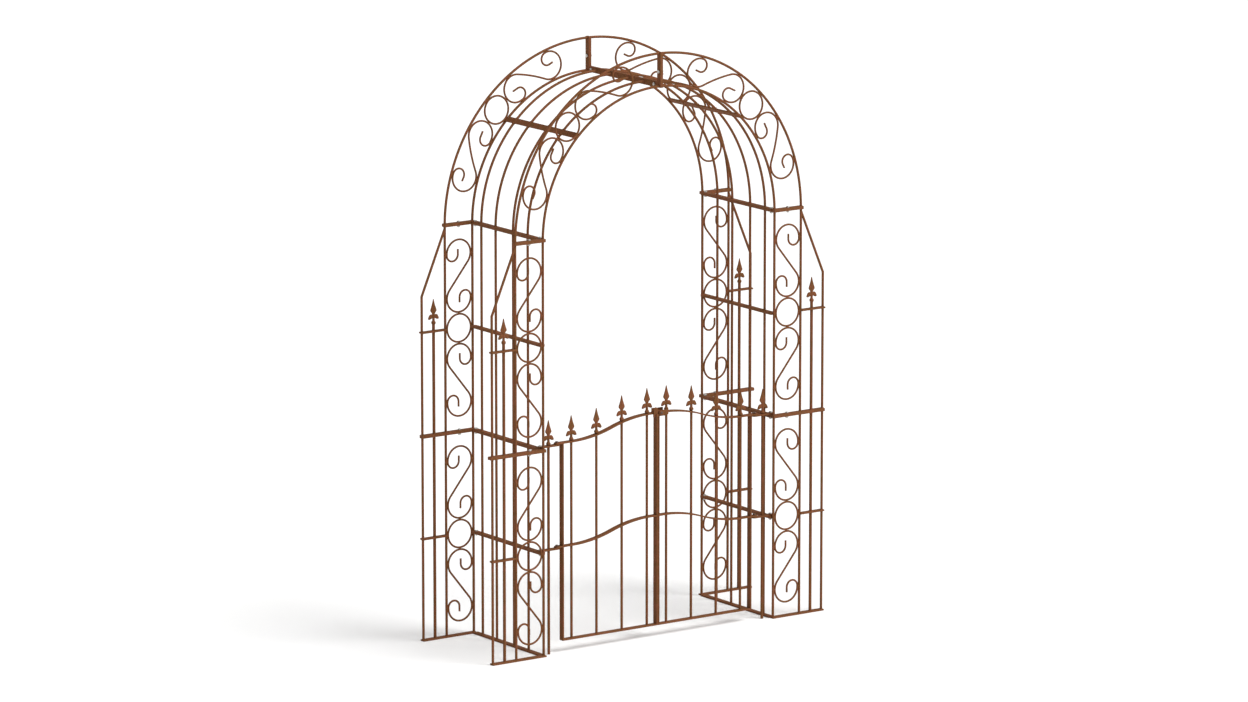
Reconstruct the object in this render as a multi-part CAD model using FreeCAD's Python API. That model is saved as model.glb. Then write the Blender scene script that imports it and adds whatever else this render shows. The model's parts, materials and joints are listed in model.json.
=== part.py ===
import FreeCAD, Part
import math
import os

# Garden arch of welded steel rod and flat bar, with a double gate.
# Millimetres. +Z is up, the gate side faces -Y, and the origin is on the ground
# under the middle of the arch.

V = FreeCAD.Vector
UP = V(0, 0, 1)

# ---- driving dimensions: the arch ------------------------------------------------
GATE_LEVEL = 882.0       # joint between the lower and the upper leg modules
SPRING_LEVEL = 1771.5    # joint between the legs and the arch
ARC_CENTRE_Z = 1765.0    # centre of the face arcs, a little below that joint
ROOF_CENTRE_Z = SPRING_LEVEL   # centre of the roof rods
INNER_X = 596.0          # inner stile and inner arc radius
OUTER_X = 735.0          # outer stile and outer arc radius
WING_X = 853.0           # outermost upright of the wing
FACE_Y = 260.0           # front and back faces lie at -FACE_Y and +FACE_Y

ROD_R = 5.5              # stiles, arcs, gate bars
SPEAR_ROD_R = 6.5        # wing rod that carries a spear
WIRE_R = 4.25            # scroll and ring wire
FLAT_W = 25.0            # flat bars of the arch
FLAT_T = 6.5
RING_FLAT_T = 10.0       # thicker bars of the side walls at ring level

WING_BEND_Z = 1480.0     # where the wing upright leans in
WING_TOP_Z = 1757.0      # where it meets the outer stile
WING_SPEAR_BASE_Z = 1357.0
INNER_OVERHANG = 7.0     # face flats run this far past the inner stile
END_OVERHANG = 6.0       # flat bars run this far past the last upright
LONG_OVERHANG = 14.0     # at gate level on two opposite corners
SIDE_ROD_Y = (192.0, 86.0, -42.5, -150.0)   # left side; the right side is turned round
CROSS_BAR_ANGLE = 45.0   # flat bar halfway up each roof quarter

# ---- scrolls ---------------------------------------------------------------------
MID_X = (INNER_X + OUTER_X) / 2
SPEAR_X = (OUTER_X + WING_X) / 2                    # the spear's rod, inside the wing
LOOP_R = (OUTER_X - INNER_X) / 2 - ROD_R - WIRE_R   # loops touch both stiles
CURL_R = 28.0            # small half turn at each end of a scroll
CURL_RUN = 3.0           # straight stretches on both sides of that half turn
CURL_TAIL = 19.0         # straight end of the curl
LOOP_PITCH = 190.0       # between the two loop centres of one scroll
RING_PITCH = 2 * (LOOP_R + WIRE_R)                  # ring centre to next loop centre

# ---- fasteners -------------------------------------------------------------------
BOLT_R = 4.0
BOLT_HOLE_R = 4.2
NUT_HOLE_R = 4.05
HEX_ACROSS = 13.0
HEAD_H = 5.3
NUT_H = 6.5
THREAD_END = 2.0         # thread that shows past the nut
SIDE_BOLT_Y = 237.0
CROWN_FACE_BOLT_Z = ARC_CENTRE_Z + 658.0
CROWN_DEPTH_Z = ROOF_CENTRE_Z + INNER_X
CROWN_BOLT_Y = 228.0

# ---- the gate --------------------------------------------------------------------
GATE_Y = -237.0          # plane of both leaves and of the hinge posts
POST_X = 554.0
POST_R = 6.0
POST_HOLE_R = 6.2
PIVOT_X = 512.0
PIVOT_HOLE_R = 4.08      # running fit on the pivot bolt
ARM_GAP = 0.4            # running gap above and below the rail end
HINGE_STILE_X = 487.0
MEETING_STILE_X = 4.5
GATE_FLAT_W = 25.0
GATE_FLAT_T = 6.0
TENON_W = 13.0           # middle rail narrows to pass through the hinge stile
LEAF_BOTTOM_Z = 50.5
BAR_X = (50.0, 180.0, 310.0, 438.0)
BAR_HOLE_R = 5.6
RAIL_RISE = 69.5         # the rails climb this much towards the middle
RAIL_CURVE_X = (30.0, 440.0)

# ---- spear heads -----------------------------------------------------------------
SPEAR_H = 108.0
SPEAR_T = 9.0
SPEAR_NECK_R = 6.0
NECK_TOP_DROP = 78.0     # the neck ends this far below the tip, inside the blade
COLLAR_R = 9.5
COLLAR_H = 8.0
COLLAR_CLEARANCE = 0.2   # between a gate spear's collar and the sloping rail
# Right half of the blade's outline: start, middle and end of each arc, as the
# distance from the axis and the drop below the tip.
BLADE_ARCS = (
    ((0.0, 0.0), (8.4, 26.0), (15.5, 49.0)),        # leaf
    ((15.5, 49.0), (13.0, 56.5), (7.0, 62.5)),      # shoulder into the waist
    ((7.0, 62.5), (20.0, 67.5), (27.0, 83.5)),      # top of the barb
    ((27.0, 83.5), (17.0, 87.0), (5.0, 81.0)),      # under side of the barb
)

# ---- latch -----------------------------------------------------------------------
LATCH_X = 13.0
LATCH_Z = 968.5
LATCH_HALF_H = 11.0
LATCH_REACH = 35.0       # pivot to the end of the strap
LATCH_T = 3.0
LATCH_GAP = 0.5
LATCH_CORNER_R = 3.0     # rounded end of the strap
LATCH_PIN_R = 3.0
LATCH_HOLE_R = 3.08
LATCH_BRACKET_HOLE_R = 3.05
LATCH_HEAD_R = 6.0
LATCH_HEAD_H = 3.0
LATCH_HEAD_TAPER = 0.6   # top of the head against its rim
BRACKET_X = (2.0, 38.0)  # plate on the right leaf
BRACKET_RISE = 9.0       # top of the bracket above the pivot
REST_X = (28.0, 38.0)    # lip of the bracket that the strap rests on
KEEPER_X = (-27.0, -3.0)  # plate on the left leaf
KEEPER_RISE = 15.5       # top of the keeper plate above the pivot
HOOK_X = (-16.0, -6.0)   # hook of the keeper
HOOK_DROP = 3.0          # top of the hook below the pivot
STOP_X = (-27.0, -24.0)  # folded end wall, just past the sweep of the strap
STOP_FOOT_DROP = 1.5     # foot of that wall below the pivot
BRACKET_LUG_X = (2.0, 42.0)     # lug of the bracket, behind the rail
BRACKET_LUG_RISE = 16.0         # top of that lug above the pivot
KEEPER_LUG_X = (-16.5, -3.0)
KEEPER_LUG_RISE = 17.5
SADDLE_END_X = 28.0      # the strip over the rail stops before the rail curves
EAR_X = -15.0
EAR_R = 10.0


# ---- basic shapes ----------------------------------------------------------------
def box(x0, x1, y0, y1, z0, z1):
    low = V(min(x0, x1), min(y0, y1), z0)
    return Part.makeBox(abs(x1 - x0), abs(y1 - y0), z1 - z0, low)


def rod(start, end, radius):
    run = end - start
    return Part.makeCylinder(radius, run.Length, start, run)


def upright(x, y, z0, z1, radius=ROD_R):
    return rod(V(x, y, z0), V(x, y, z1), radius)


def hole(x, y, z0, z1, radius):
    """A cutting cylinder that runs 1 mm past both faces."""
    return upright(x, y, z0 - 1, z1 + 1, radius)


def hexagon(centre, axis, height):
    """Hexagonal prism that stands on centre along axis."""
    corner_r = HEX_ACROSS / math.sqrt(3)
    side_dir = UP if abs(axis.z) < 0.5 else V(1, 0, 0)
    across = axis.cross(side_dir)
    points = []
    for step in range(7):
        turn = math.radians(60 * step)
        points.append(centre + side_dir * (corner_r * math.cos(turn)) + across * (corner_r * math.sin(turn)))
    return Part.Face(Part.makePolygon(points)).extrude(axis * height)


def weld(pieces):
    """One solid from pieces that are welded together."""
    whole = pieces[0].multiFuse(pieces[1:]) if len(pieces) > 1 else pieces[0]
    return whole.removeSplitter()


def group(pieces):
    """Separate solids that share a node."""
    solids = []
    for piece in pieces:
        solids.extend(piece.Solids)
    return Part.makeCompound(solids)


def swept(edges, profile_wire):
    path = Part.Wire(edges)
    solid = path.makePipeShell([profile_wire], True, False)
    if solid.Volume < 0:
        solid.reverse()
    return solid


def swept_wire(edges, radius):
    """Round wire along a smooth path."""
    first = edges[0]
    start = first.valueAt(first.FirstParameter)
    along = first.tangentAt(first.FirstParameter)
    circle = Part.Wire([Part.makeCircle(radius, start, along)])
    return swept(edges, circle)


def mirrored_x(shape):
    return shape.mirror(V(0, 0, 0), V(1, 0, 0))


# ---- scrolls ---------------------------------------------------------------------
def loop_edges(centre, out, beyond, leave_point):
    """Edges of one end of a scroll, from the tip of its curl to the straight run.

    out points at the stile where the curl meets the loop, and beyond points away
    from the scroll's other loop.
    """
    touch = centre + out * LOOP_R
    curl_start = touch - beyond * CURL_RUN
    curl_middle = curl_start - (out + beyond) * CURL_R
    curl_end = curl_start - out * (2 * CURL_R)
    tip = centre + out * (LOOP_R - 2 * CURL_R) + beyond * CURL_TAIL
    far = centre + beyond * LOOP_R
    return [
        Part.LineSegment(tip, curl_end).toShape(),
        Part.Arc(curl_end, curl_middle, curl_start).toShape(),
        Part.LineSegment(curl_start, touch).toShape(),
        Part.Arc(touch, far, leave_point).toShape(),
    ]


def straight_run(low, high, outward, sign):
    """Ends and edge of the straight run; it leaves the top loop opposite its curl."""
    axis = (high - low).normalize()
    lean = math.asin(2 * LOOP_R / (high - low).Length)
    side = axis.cross(V(0, 1, 0))
    if side.dot(outward) < 0:
        side = side * -1
    leave = side * (-sign * math.cos(lean)) - axis * math.sin(lean)
    top_point = high + leave * LOOP_R
    bottom_point = low + high - top_point
    return top_point, bottom_point, Part.LineSegment(top_point, bottom_point).toShape()


def bent_run(low, high, outward, sign):
    """The same for the arch: an arc of its middle radius that touches both loops."""
    inside, outside = (low, high) if sign > 0 else (high, low)
    apart = (outside - inside).Length
    axis = (outside - inside).normalize()
    reach = MID_X - LOOP_R
    offset = (reach ** 2 - (MID_X + LOOP_R) ** 2 + apart ** 2) / (2 * apart)
    inward = axis.cross(V(0, 1, 0))
    if inward.dot(outward) > 0:
        inward = inward * -1
    hub = inside + axis * offset + inward * math.sqrt(reach ** 2 - offset ** 2)
    inside_point = hub + (inside - hub).normalize() * MID_X
    outside_point = hub + (outside - hub).normalize() * MID_X
    halfway = hub + ((inside_point + outside_point) * 0.5 - hub).normalize() * MID_X
    run = Part.Arc(inside_point, halfway, outside_point).toShape()
    if sign > 0:
        return outside_point, inside_point, run
    return inside_point, outside_point, run


def scroll(low, high, outward_low, outward_high, curl_out_at_top, run_shape):
    """S-shaped scroll between two loop centres."""
    axis = (high - low).normalize()
    sign = 1.0 if curl_out_at_top else -1.0
    top_point, bottom_point, run = run_shape(low, high, outward_high, sign)
    top = loop_edges(high, outward_high * sign, axis, top_point)
    bottom = loop_edges(low, outward_low * -sign, axis * -1, bottom_point)
    edges = Part.sortEdges(top + [run] + bottom)[0]
    return swept_wire(edges, WIRE_R)


def ring(centre):
    return Part.makeTorus(LOOP_R, WIRE_R, centre, V(0, 1, 0))


def leg_scrolls(side, face_y, z0, z1):
    """Ring in the middle of a leg module, with a scroll above and one below."""
    outward = V(side, 0, 0)
    middle = V(side * MID_X, face_y, (z0 + z1) / 2)
    near = UP * RING_PITCH
    far = UP * (RING_PITCH + LOOP_PITCH)
    above = scroll(middle + near, middle + far, outward, outward, True, straight_run)
    below = scroll(middle - far, middle - near, outward, outward, False, straight_run)
    return group([above, ring(middle), below])


def arch_scrolls(side, face_y):
    """The same ring and scrolls, bent round a quarter of the arch."""
    near = math.degrees(2 * math.asin(RING_PITCH / 2 / MID_X))
    far = near + math.degrees(2 * math.asin(LOOP_PITCH / 2 / MID_X))

    def outward(angle):
        turn = math.radians(angle)
        return V(side * math.cos(turn), 0, math.sin(turn))

    def place(angle):
        return V(0, face_y, ARC_CENTRE_Z) + outward(angle) * MID_X

    def bent(low, high, curl_out_at_top):
        return scroll(place(low), place(high), outward(low), outward(high),
                      curl_out_at_top, bent_run)

    above = bent(45 + near, 45 + far, True)
    below = bent(45 - far, 45 - near, False)
    return group([above, ring(place(45)), below])


# ---- leg modules -----------------------------------------------------------------
def face_flat(side, face_y, z0, end_x, bolted):
    """Flat bar across a face, from the inner stile out to end_x."""
    flat = box(side * (INNER_X - INNER_OVERHANG), side * end_x,
               face_y - FLAT_W / 2, face_y + FLAT_W / 2, z0, z0 + FLAT_T)
    if bolted:
        flat = flat.cut(hole(side * MID_X, face_y, z0, z0 + FLAT_T, BOLT_HOLE_R))
    return flat


def gate_level_end(side, face_y):
    """The bars at gate level run on further on two opposite corners."""
    long_corner = side * face_y > 0
    return WING_X + (LONG_OVERHANG if long_corner else END_OVERHANG)


def wing_bar(side, face_y, middle_z):
    return box(side * OUTER_X, side * (WING_X + END_OVERHANG),
               face_y - FLAT_W / 2, face_y + FLAT_W / 2,
               middle_z - FLAT_T / 2, middle_z + FLAT_T / 2)


def lower_panel(side, face_y):
    top = GATE_LEVEL
    pieces = [
        face_flat(side, face_y, 0, WING_X + END_OVERHANG, False),
        face_flat(side, face_y, top - FLAT_T, gate_level_end(side, face_y), True),
        wing_bar(side, face_y, top / 2),
        upright(side * INNER_X, face_y, 0, top),
        upright(side * OUTER_X, face_y, 0, top),
        upright(side * WING_X, face_y, 0, top),
        upright(side * SPEAR_X, face_y, 0, top, SPEAR_ROD_R),
    ]
    return weld(pieces)


def upper_panel(side, face_y):
    ring_z = (GATE_LEVEL + SPRING_LEVEL) / 2
    bend = V(side * WING_X, face_y, WING_BEND_Z)
    meet = V(side * OUTER_X, face_y, WING_TOP_Z)
    pieces = [
        face_flat(side, face_y, GATE_LEVEL, gate_level_end(side, face_y), True),
        face_flat(side, face_y, SPRING_LEVEL - FLAT_T, OUTER_X + END_OVERHANG, True),
        wing_bar(side, face_y, ring_z),
        upright(side * INNER_X, face_y, GATE_LEVEL, SPRING_LEVEL),
        upright(side * OUTER_X, face_y, GATE_LEVEL, SPRING_LEVEL),
        upright(side * WING_X, face_y, GATE_LEVEL, WING_BEND_Z),
        Part.makeSphere(ROD_R, bend),
        rod(bend, meet, ROD_R),
        upright(side * SPEAR_X, face_y, GATE_LEVEL, WING_SPEAR_BASE_Z, SPEAR_ROD_R),
    ]
    return weld(pieces)


def depth_flat(side, z0, reach_y, bolt_y, thickness=FLAT_T):
    """Flat bar from front to back beside the inner stiles."""
    flat = box(side * (INNER_X - FLAT_W / 2), side * (INNER_X + FLAT_W / 2),
               -reach_y, reach_y, z0, z0 + thickness)
    for y in bolt_y:
        flat = flat.cut(hole(side * INNER_X, y, z0, z0 + thickness, BOLT_HOLE_R))
    return flat


def side_rod_places(side):
    return [-side * y for y in SIDE_ROD_Y]


def side_grille(side, z0, z1, ring_bolts):
    """Wall of the passage: upright rods and three flats."""
    corner_reach = FACE_Y - FLAT_W / 2
    stile_reach = FACE_Y - ROD_R
    both = (-SIDE_BOLT_Y, SIDE_BOLT_Y)
    ring_z = (z0 + z1) / 2 - RING_FLAT_T / 2
    pieces = [
        depth_flat(side, z0, corner_reach, both if z0 > 0 else ()),
        depth_flat(side, ring_z, stile_reach, both if ring_bolts else (), RING_FLAT_T),
        depth_flat(side, z1 - FLAT_T, corner_reach, both),
    ]
    for y in side_rod_places(side):
        pieces.append(upright(side * INNER_X, y, z0, z1))
    return weld(pieces)


# ---- the arch --------------------------------------------------------------------
def quarter_rod(side, y, radius, centre_z):
    """Round rod bent to an arc, from inside the spring flat to the crown."""
    centre = V(0, y, centre_z)
    turn_axis = V(0, -side, 0)
    rise = SPRING_LEVEL + FLAT_T / 2 - centre_z
    start_angle = math.degrees(math.asin(rise / radius))
    profile = Part.Face(Part.Wire([Part.makeCircle(ROD_R, V(side * radius, y, centre_z), UP)]))
    profile.rotate(centre, turn_axis, start_angle)
    return profile.revolve(centre, turn_axis, 90 - start_angle)


def arch_frame(side, face_y):
    """Inner and outer arcs of one face, with their end flats."""
    crown_flat = box(0, side * FLAT_T, face_y - FLAT_W / 2, face_y + FLAT_W / 2,
                     ARC_CENTRE_Z + INNER_X - ROD_R, ARC_CENTRE_Z + OUTER_X + ROD_R)
    crown_hole = rod(V(-side, face_y, CROWN_FACE_BOLT_Z),
                     V(side * (FLAT_T + 1), face_y, CROWN_FACE_BOLT_Z), BOLT_HOLE_R)
    pieces = [
        face_flat(side, face_y, SPRING_LEVEL, OUTER_X + END_OVERHANG, True),
        crown_flat.cut(crown_hole),
        quarter_rod(side, face_y, INNER_X, ARC_CENTRE_Z),
        quarter_rod(side, face_y, OUTER_X, ARC_CENTRE_Z),
    ]
    return weld(pieces)


def roof_grille(side):
    """Roof of one quarter: four bent rods, spring flat, cross bar and crown flat."""
    corner_reach = FACE_Y - FLAT_W / 2
    stile_reach = FACE_Y - ROD_R
    crown_flat = box(0, side * FLAT_T, -corner_reach, corner_reach,
                     CROWN_DEPTH_Z - FLAT_W / 2, CROWN_DEPTH_Z + FLAT_W / 2)
    for y in (-CROWN_BOLT_Y, CROWN_BOLT_Y):
        crown_flat = crown_flat.cut(rod(V(-side, y, CROWN_DEPTH_Z),
                                        V(side * (FLAT_T + 1), y, CROWN_DEPTH_Z), BOLT_HOLE_R))
    cross_bar = box(INNER_X - FLAT_T / 2, INNER_X + FLAT_T / 2, -stile_reach, stile_reach,
                    ROOF_CENTRE_Z - FLAT_W / 2, ROOF_CENTRE_Z + FLAT_W / 2)
    cross_bar.rotate(V(0, 0, ROOF_CENTRE_Z), V(0, -1, 0), CROSS_BAR_ANGLE)
    if side < 0:
        cross_bar = mirrored_x(cross_bar)
    pieces = [
        depth_flat(side, SPRING_LEVEL, corner_reach, (-SIDE_BOLT_Y, SIDE_BOLT_Y)),
        crown_flat,
        cross_bar,
    ]
    for y in side_rod_places(side):
        pieces.append(quarter_rod(side, y, INNER_X, ROOF_CENTRE_Z))
    return weld(pieces)


# ---- spear heads -----------------------------------------------------------------
def spear(x, y, base_z):
    """Cast spear head on its collar, flat in the plane of the face."""
    tip_z = base_z + SPEAR_H

    def at(side, point):
        return V(x + side * point[0], y - SPEAR_T / 2, tip_z - point[1])

    right = [Part.Arc(*(at(1, point) for point in arc)) for arc in BLADE_ARCS]
    left = [Part.Arc(*(at(-1, point) for point in reversed(arc))) for arc in reversed(BLADE_ARCS)]
    last = BLADE_ARCS[-1][-1]
    edges = [arc.toShape() for arc in right]
    edges.append(Part.LineSegment(at(1, last), at(-1, last)).toShape())
    edges += [arc.toShape() for arc in left]
    blade = Part.Face(Part.Wire(edges)).extrude(V(0, SPEAR_T, 0))
    neck = upright(x, y, base_z + COLLAR_H - 1, tip_z - NECK_TOP_DROP, SPEAR_NECK_R)
    collar = upright(x, y, base_z, base_z + COLLAR_H, COLLAR_R)
    return weld([blade, neck, collar])


# ---- hinges ----------------------------------------------------------------------
def hinge_arm(side, z0):
    """Flat arm from the side wall, past the hinge post, to the gate's pivot."""
    y0 = GATE_Y - FLAT_W / 2
    y1 = GATE_Y + FLAT_W / 2
    arm = box(side * PIVOT_X, side * (INNER_X + FLAT_W / 2), y0, y1, z0, z0 + FLAT_T)
    nose = upright(side * PIVOT_X, GATE_Y, z0, z0 + FLAT_T, FLAT_W / 2)
    arm = weld([arm, nose])
    arm = arm.cut(hole(side * PIVOT_X, GATE_Y, z0, z0 + FLAT_T, NUT_HOLE_R))
    arm = arm.cut(hole(side * POST_X, GATE_Y, z0, z0 + FLAT_T, POST_HOLE_R))
    return arm.cut(hole(side * INNER_X, -SIDE_BOLT_Y, z0, z0 + FLAT_T, BOLT_HOLE_R))


UPPER_ARM_Z = GATE_LEVEL + FLAT_T
LOWER_ARM_Z = GATE_LEVEL / 2 + RING_FLAT_T / 2


def hex_bolt(base, axis, grip, tail):
    """Bolt with its head past the grip, along axis; its tail sticks out behind base."""
    head = hexagon(base + axis * grip, axis, HEAD_H)
    shank = rod(base - axis * tail, base + axis * (grip + 1), BOLT_R)
    return weld([head, shank])


def hex_nut(base, axis):
    nut = hexagon(base, axis * -1, NUT_H)
    return nut.cut(rod(base + axis, base - axis * (NUT_H + 1), NUT_HOLE_R))


def joint_places():
    """Base point, axis and grip of every bolt that holds the modules together."""
    double = 2 * FLAT_T
    places = []
    for side in (-1, 1):
        for level in (GATE_LEVEL, SPRING_LEVEL):
            for y in (-FACE_Y, FACE_Y):
                places.append((V(side * MID_X, y, level - FLAT_T), UP, double))
            front_grip = double + (FLAT_T if level == GATE_LEVEL else 0)
            places.append((V(side * INNER_X, -SIDE_BOLT_Y, level - FLAT_T), UP, front_grip))
            places.append((V(side * INNER_X, SIDE_BOLT_Y, level - FLAT_T), UP, double))
        ring_z = GATE_LEVEL / 2 - RING_FLAT_T / 2
        places.append((V(side * INNER_X, -SIDE_BOLT_Y, ring_z), UP, RING_FLAT_T + FLAT_T))
        places.append((V(side * INNER_X, SIDE_BOLT_Y, ring_z), UP, RING_FLAT_T))
    for sign in (-1, 1):
        head_dir = V(-1, 0, 0)
        places.append((V(FLAT_T, sign * FACE_Y, CROWN_FACE_BOLT_Z), head_dir, double))
        places.append((V(FLAT_T, sign * CROWN_BOLT_Y, CROWN_DEPTH_Z), head_dir, double))
    return places


def pivot_places():
    """Under side of each hinge arm, where the pivot bolt's thread ends flush."""
    places = []
    for side in (-1, 1):
        for z0 in (UPPER_ARM_Z, LOWER_ARM_Z):
            places.append(V(side * PIVOT_X, GATE_Y, z0))
    return places


PIVOT_GRIP = FLAT_T + 2 * ARM_GAP + GATE_FLAT_T


# ---- gate leaves -----------------------------------------------------------------
def rail_rise(x):
    """Height that a rail has gained at x, and its slope, on two equal arcs."""
    x0, x1 = RAIL_CURVE_X
    if x <= x0:
        return RAIL_RISE, 0.0
    if x >= x1:
        return 0.0, 0.0
    radius = rail_radius()
    middle = (x0 + x1) / 2
    if x < middle:
        dx = x - x0
        drop = radius - math.sqrt(radius ** 2 - dx ** 2)
        return RAIL_RISE - drop, dx / math.sqrt(radius ** 2 - dx ** 2)
    dx = x1 - x
    climb = radius - math.sqrt(radius ** 2 - dx ** 2)
    return climb, dx / math.sqrt(radius ** 2 - dx ** 2)


def rail_radius():
    half_run = (RAIL_CURVE_X[1] - RAIL_CURVE_X[0]) / 2
    half_rise = RAIL_RISE / 2
    return (half_run ** 2 + half_rise ** 2) / (2 * half_rise)


def curved_rail(end_x, low_z):
    """Rail of a right-hand leaf, from end_x by the meeting stile to the pivot."""
    middle_z = low_z + GATE_FLAT_T / 2
    x0, x1 = RAIL_CURVE_X

    def on_rail(x):
        return V(x, GATE_Y, middle_z + rail_rise(x)[0])

    mid_x = (x0 + x1) / 2
    edges = [
        Part.LineSegment(on_rail(end_x), on_rail(x0)).toShape(),
        Part.Arc(on_rail(x0), on_rail((x0 + mid_x) / 2), on_rail(mid_x)).toShape(),
        Part.Arc(on_rail(mid_x), on_rail((mid_x + x1) / 2), on_rail(x1)).toShape(),
        Part.LineSegment(on_rail(x1), on_rail(PIVOT_X)).toShape(),
    ]
    top = on_rail(end_x).z + GATE_FLAT_T / 2
    corners = [
        V(end_x, GATE_Y - GATE_FLAT_W / 2, top),
        V(end_x, GATE_Y + GATE_FLAT_W / 2, top),
        V(end_x, GATE_Y + GATE_FLAT_W / 2, top - GATE_FLAT_T),
        V(end_x, GATE_Y - GATE_FLAT_W / 2, top - GATE_FLAT_T),
    ]
    rail = swept(edges, Part.makePolygon(corners + corners[:1]))
    eye = upright(PIVOT_X, GATE_Y, low_z, low_z + GATE_FLAT_T, GATE_FLAT_W / 2)
    rail = weld([rail, eye])
    rail = rail.cut(hole(PIVOT_X, GATE_Y, low_z, low_z + GATE_FLAT_T, PIVOT_HOLE_R))
    for x in BAR_X:
        z = on_rail(x).z
        rail = rail.cut(upright(x, GATE_Y, z - 3 * GATE_FLAT_T, z + 3 * GATE_FLAT_T, BAR_HOLE_R))
    return rail


TOP_RAIL_Z = UPPER_ARM_Z + FLAT_T + ARM_GAP
MIDDLE_RAIL_Z = LOWER_ARM_Z + FLAT_T + ARM_GAP


def stile(x, z1):
    return box(x - GATE_FLAT_T / 2, x + GATE_FLAT_T / 2,
               GATE_Y - GATE_FLAT_W / 2, GATE_Y + GATE_FLAT_W / 2, LEAF_BOTTOM_Z, z1)


def spear_base(x):
    """Height where a spear's collar clears the sloping top rail."""
    rise, slope = rail_rise(x)
    return TOP_RAIL_Z + GATE_FLAT_T + rise + slope * COLLAR_R + COLLAR_CLEARANCE


def leaf_parts():
    """Every piece of the right-hand leaf except its latch."""
    meeting_face = MEETING_STILE_X + GATE_FLAT_T / 2
    hinge_face = HINGE_STILE_X - GATE_FLAT_T / 2
    shoulder = []
    for sign in (-1, 1):
        inner = GATE_Y + sign * TENON_W / 2
        outer = GATE_Y + sign * (GATE_FLAT_W / 2 + 1)
        shoulder.append(box(hinge_face, hinge_face + GATE_FLAT_T, inner, outer,
                            MIDDLE_RAIL_Z - 1, MIDDLE_RAIL_Z + GATE_FLAT_T + 1))
    slot = box(hinge_face - 1, hinge_face + GATE_FLAT_T + 1,
               GATE_Y - TENON_W / 2, GATE_Y + TENON_W / 2,
               MIDDLE_RAIL_Z, MIDDLE_RAIL_Z + GATE_FLAT_T)
    bars = []
    spears = []
    for x in BAR_X:
        bars.append(upright(x, GATE_Y, LEAF_BOTTOM_Z + GATE_FLAT_T, spear_base(x)))
        spears.append(spear(x, GATE_Y, spear_base(x)))
    return {
        "hinge_stile": stile(HINGE_STILE_X, TOP_RAIL_Z).cut(slot),
        "meeting_stile": stile(MEETING_STILE_X, TOP_RAIL_Z + RAIL_RISE),
        "top_rail": curved_rail(MEETING_STILE_X - GATE_FLAT_T / 2, TOP_RAIL_Z),
        "middle_rail": curved_rail(meeting_face, MIDDLE_RAIL_Z).cut(group(shoulder)),
        "bottom_rail": box(meeting_face, hinge_face,
                           GATE_Y - GATE_FLAT_W / 2, GATE_Y + GATE_FLAT_W / 2,
                           LEAF_BOTTOM_Z, LEAF_BOTTOM_Z + GATE_FLAT_T),
        "bars": group(bars),
        "spears": group(spears),
    }


# ---- latch -----------------------------------------------------------------------
LEAF_FRONT_Y = GATE_Y - GATE_FLAT_W / 2
STRAP_BACK_Y = LEAF_FRONT_Y - LATCH_T - LATCH_GAP
STRAP_FRONT_Y = STRAP_BACK_Y - LATCH_T
LEDGE_TOP_Z = LATCH_Z - LATCH_HALF_H - LATCH_GAP
PLATE_LOW_Z = LEDGE_TOP_Z - LATCH_T


def latch_ledge(ends_x, front_y):
    """Folded lip at the foot of a latch plate."""
    return box(*ends_x, LEAF_FRONT_Y - LATCH_T, front_y, PLATE_LOW_Z, LEDGE_TOP_Z)


def latch_rod(y0, y1, radius):
    """Round piece or bore on the strap's pivot axis."""
    return rod(V(LATCH_X, y0, LATCH_Z), V(LATCH_X, y1, LATCH_Z), radius)


def saddle(strip_x, lug_x, lug_top):
    """Strip folded over the rail, with a lug up the rail's back edge."""
    rail_top = TOP_RAIL_Z + RAIL_RISE + GATE_FLAT_T
    back_y = GATE_Y + GATE_FLAT_W / 2
    strip = box(*strip_x, LEAF_FRONT_Y - LATCH_T, back_y + LATCH_T, rail_top, rail_top + LATCH_T)
    lug = box(*lug_x, back_y, back_y + LATCH_T, rail_top - GATE_FLAT_T, lug_top)
    return [strip, lug]


def latch_bracket():
    """Plate on the right leaf that carries the pivot and the rest for the strap."""
    plate_top = LATCH_Z + BRACKET_RISE
    plate = box(*BRACKET_X, LEAF_FRONT_Y - LATCH_T, LEAF_FRONT_Y, PLATE_LOW_Z, plate_top)
    rest = latch_ledge(REST_X, STRAP_FRONT_Y - LATCH_GAP)
    bore = latch_rod(LEAF_FRONT_Y + 1, LEAF_FRONT_Y - LATCH_T - 1, LATCH_BRACKET_HOLE_R)
    over = saddle((BRACKET_X[0], SADDLE_END_X), BRACKET_LUG_X, LATCH_Z + BRACKET_LUG_RISE)
    return weld([plate, rest] + over).cut(bore)


def latch_strap():
    """Flat strap, swung open on to the right leaf; it flips over to the left."""
    eye = latch_rod(STRAP_FRONT_Y, STRAP_BACK_Y, LATCH_HALF_H)
    end_x = LATCH_X + LATCH_REACH
    tail = box(LATCH_X, end_x, STRAP_FRONT_Y, STRAP_BACK_Y,
               LATCH_Z - LATCH_HALF_H, LATCH_Z + LATCH_HALF_H)
    end_edges = []
    for edge in tail.Edges:
        at_end = edge.CenterOfMass.x > end_x - 1
        if at_end and edge.Length < LATCH_T + 1:
            end_edges.append(edge)
    tail = tail.makeFillet(LATCH_CORNER_R, end_edges)
    bore = latch_rod(STRAP_FRONT_Y - 1, STRAP_BACK_Y + 1, LATCH_HOLE_R)
    return weld([eye, tail]).cut(bore)


def latch_rivet():
    """Round-headed pivot of the strap, flush with the back of the bracket."""
    head_y = STRAP_FRONT_Y - LATCH_GAP
    shank = latch_rod(LEAF_FRONT_Y, head_y - 1, LATCH_PIN_R)
    head = Part.makeCone(LATCH_HEAD_R, LATCH_HEAD_R * LATCH_HEAD_TAPER, LATCH_HEAD_H,
                         V(LATCH_X, head_y, LATCH_Z), V(0, -1, 0))
    return weld([shank, head])


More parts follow.
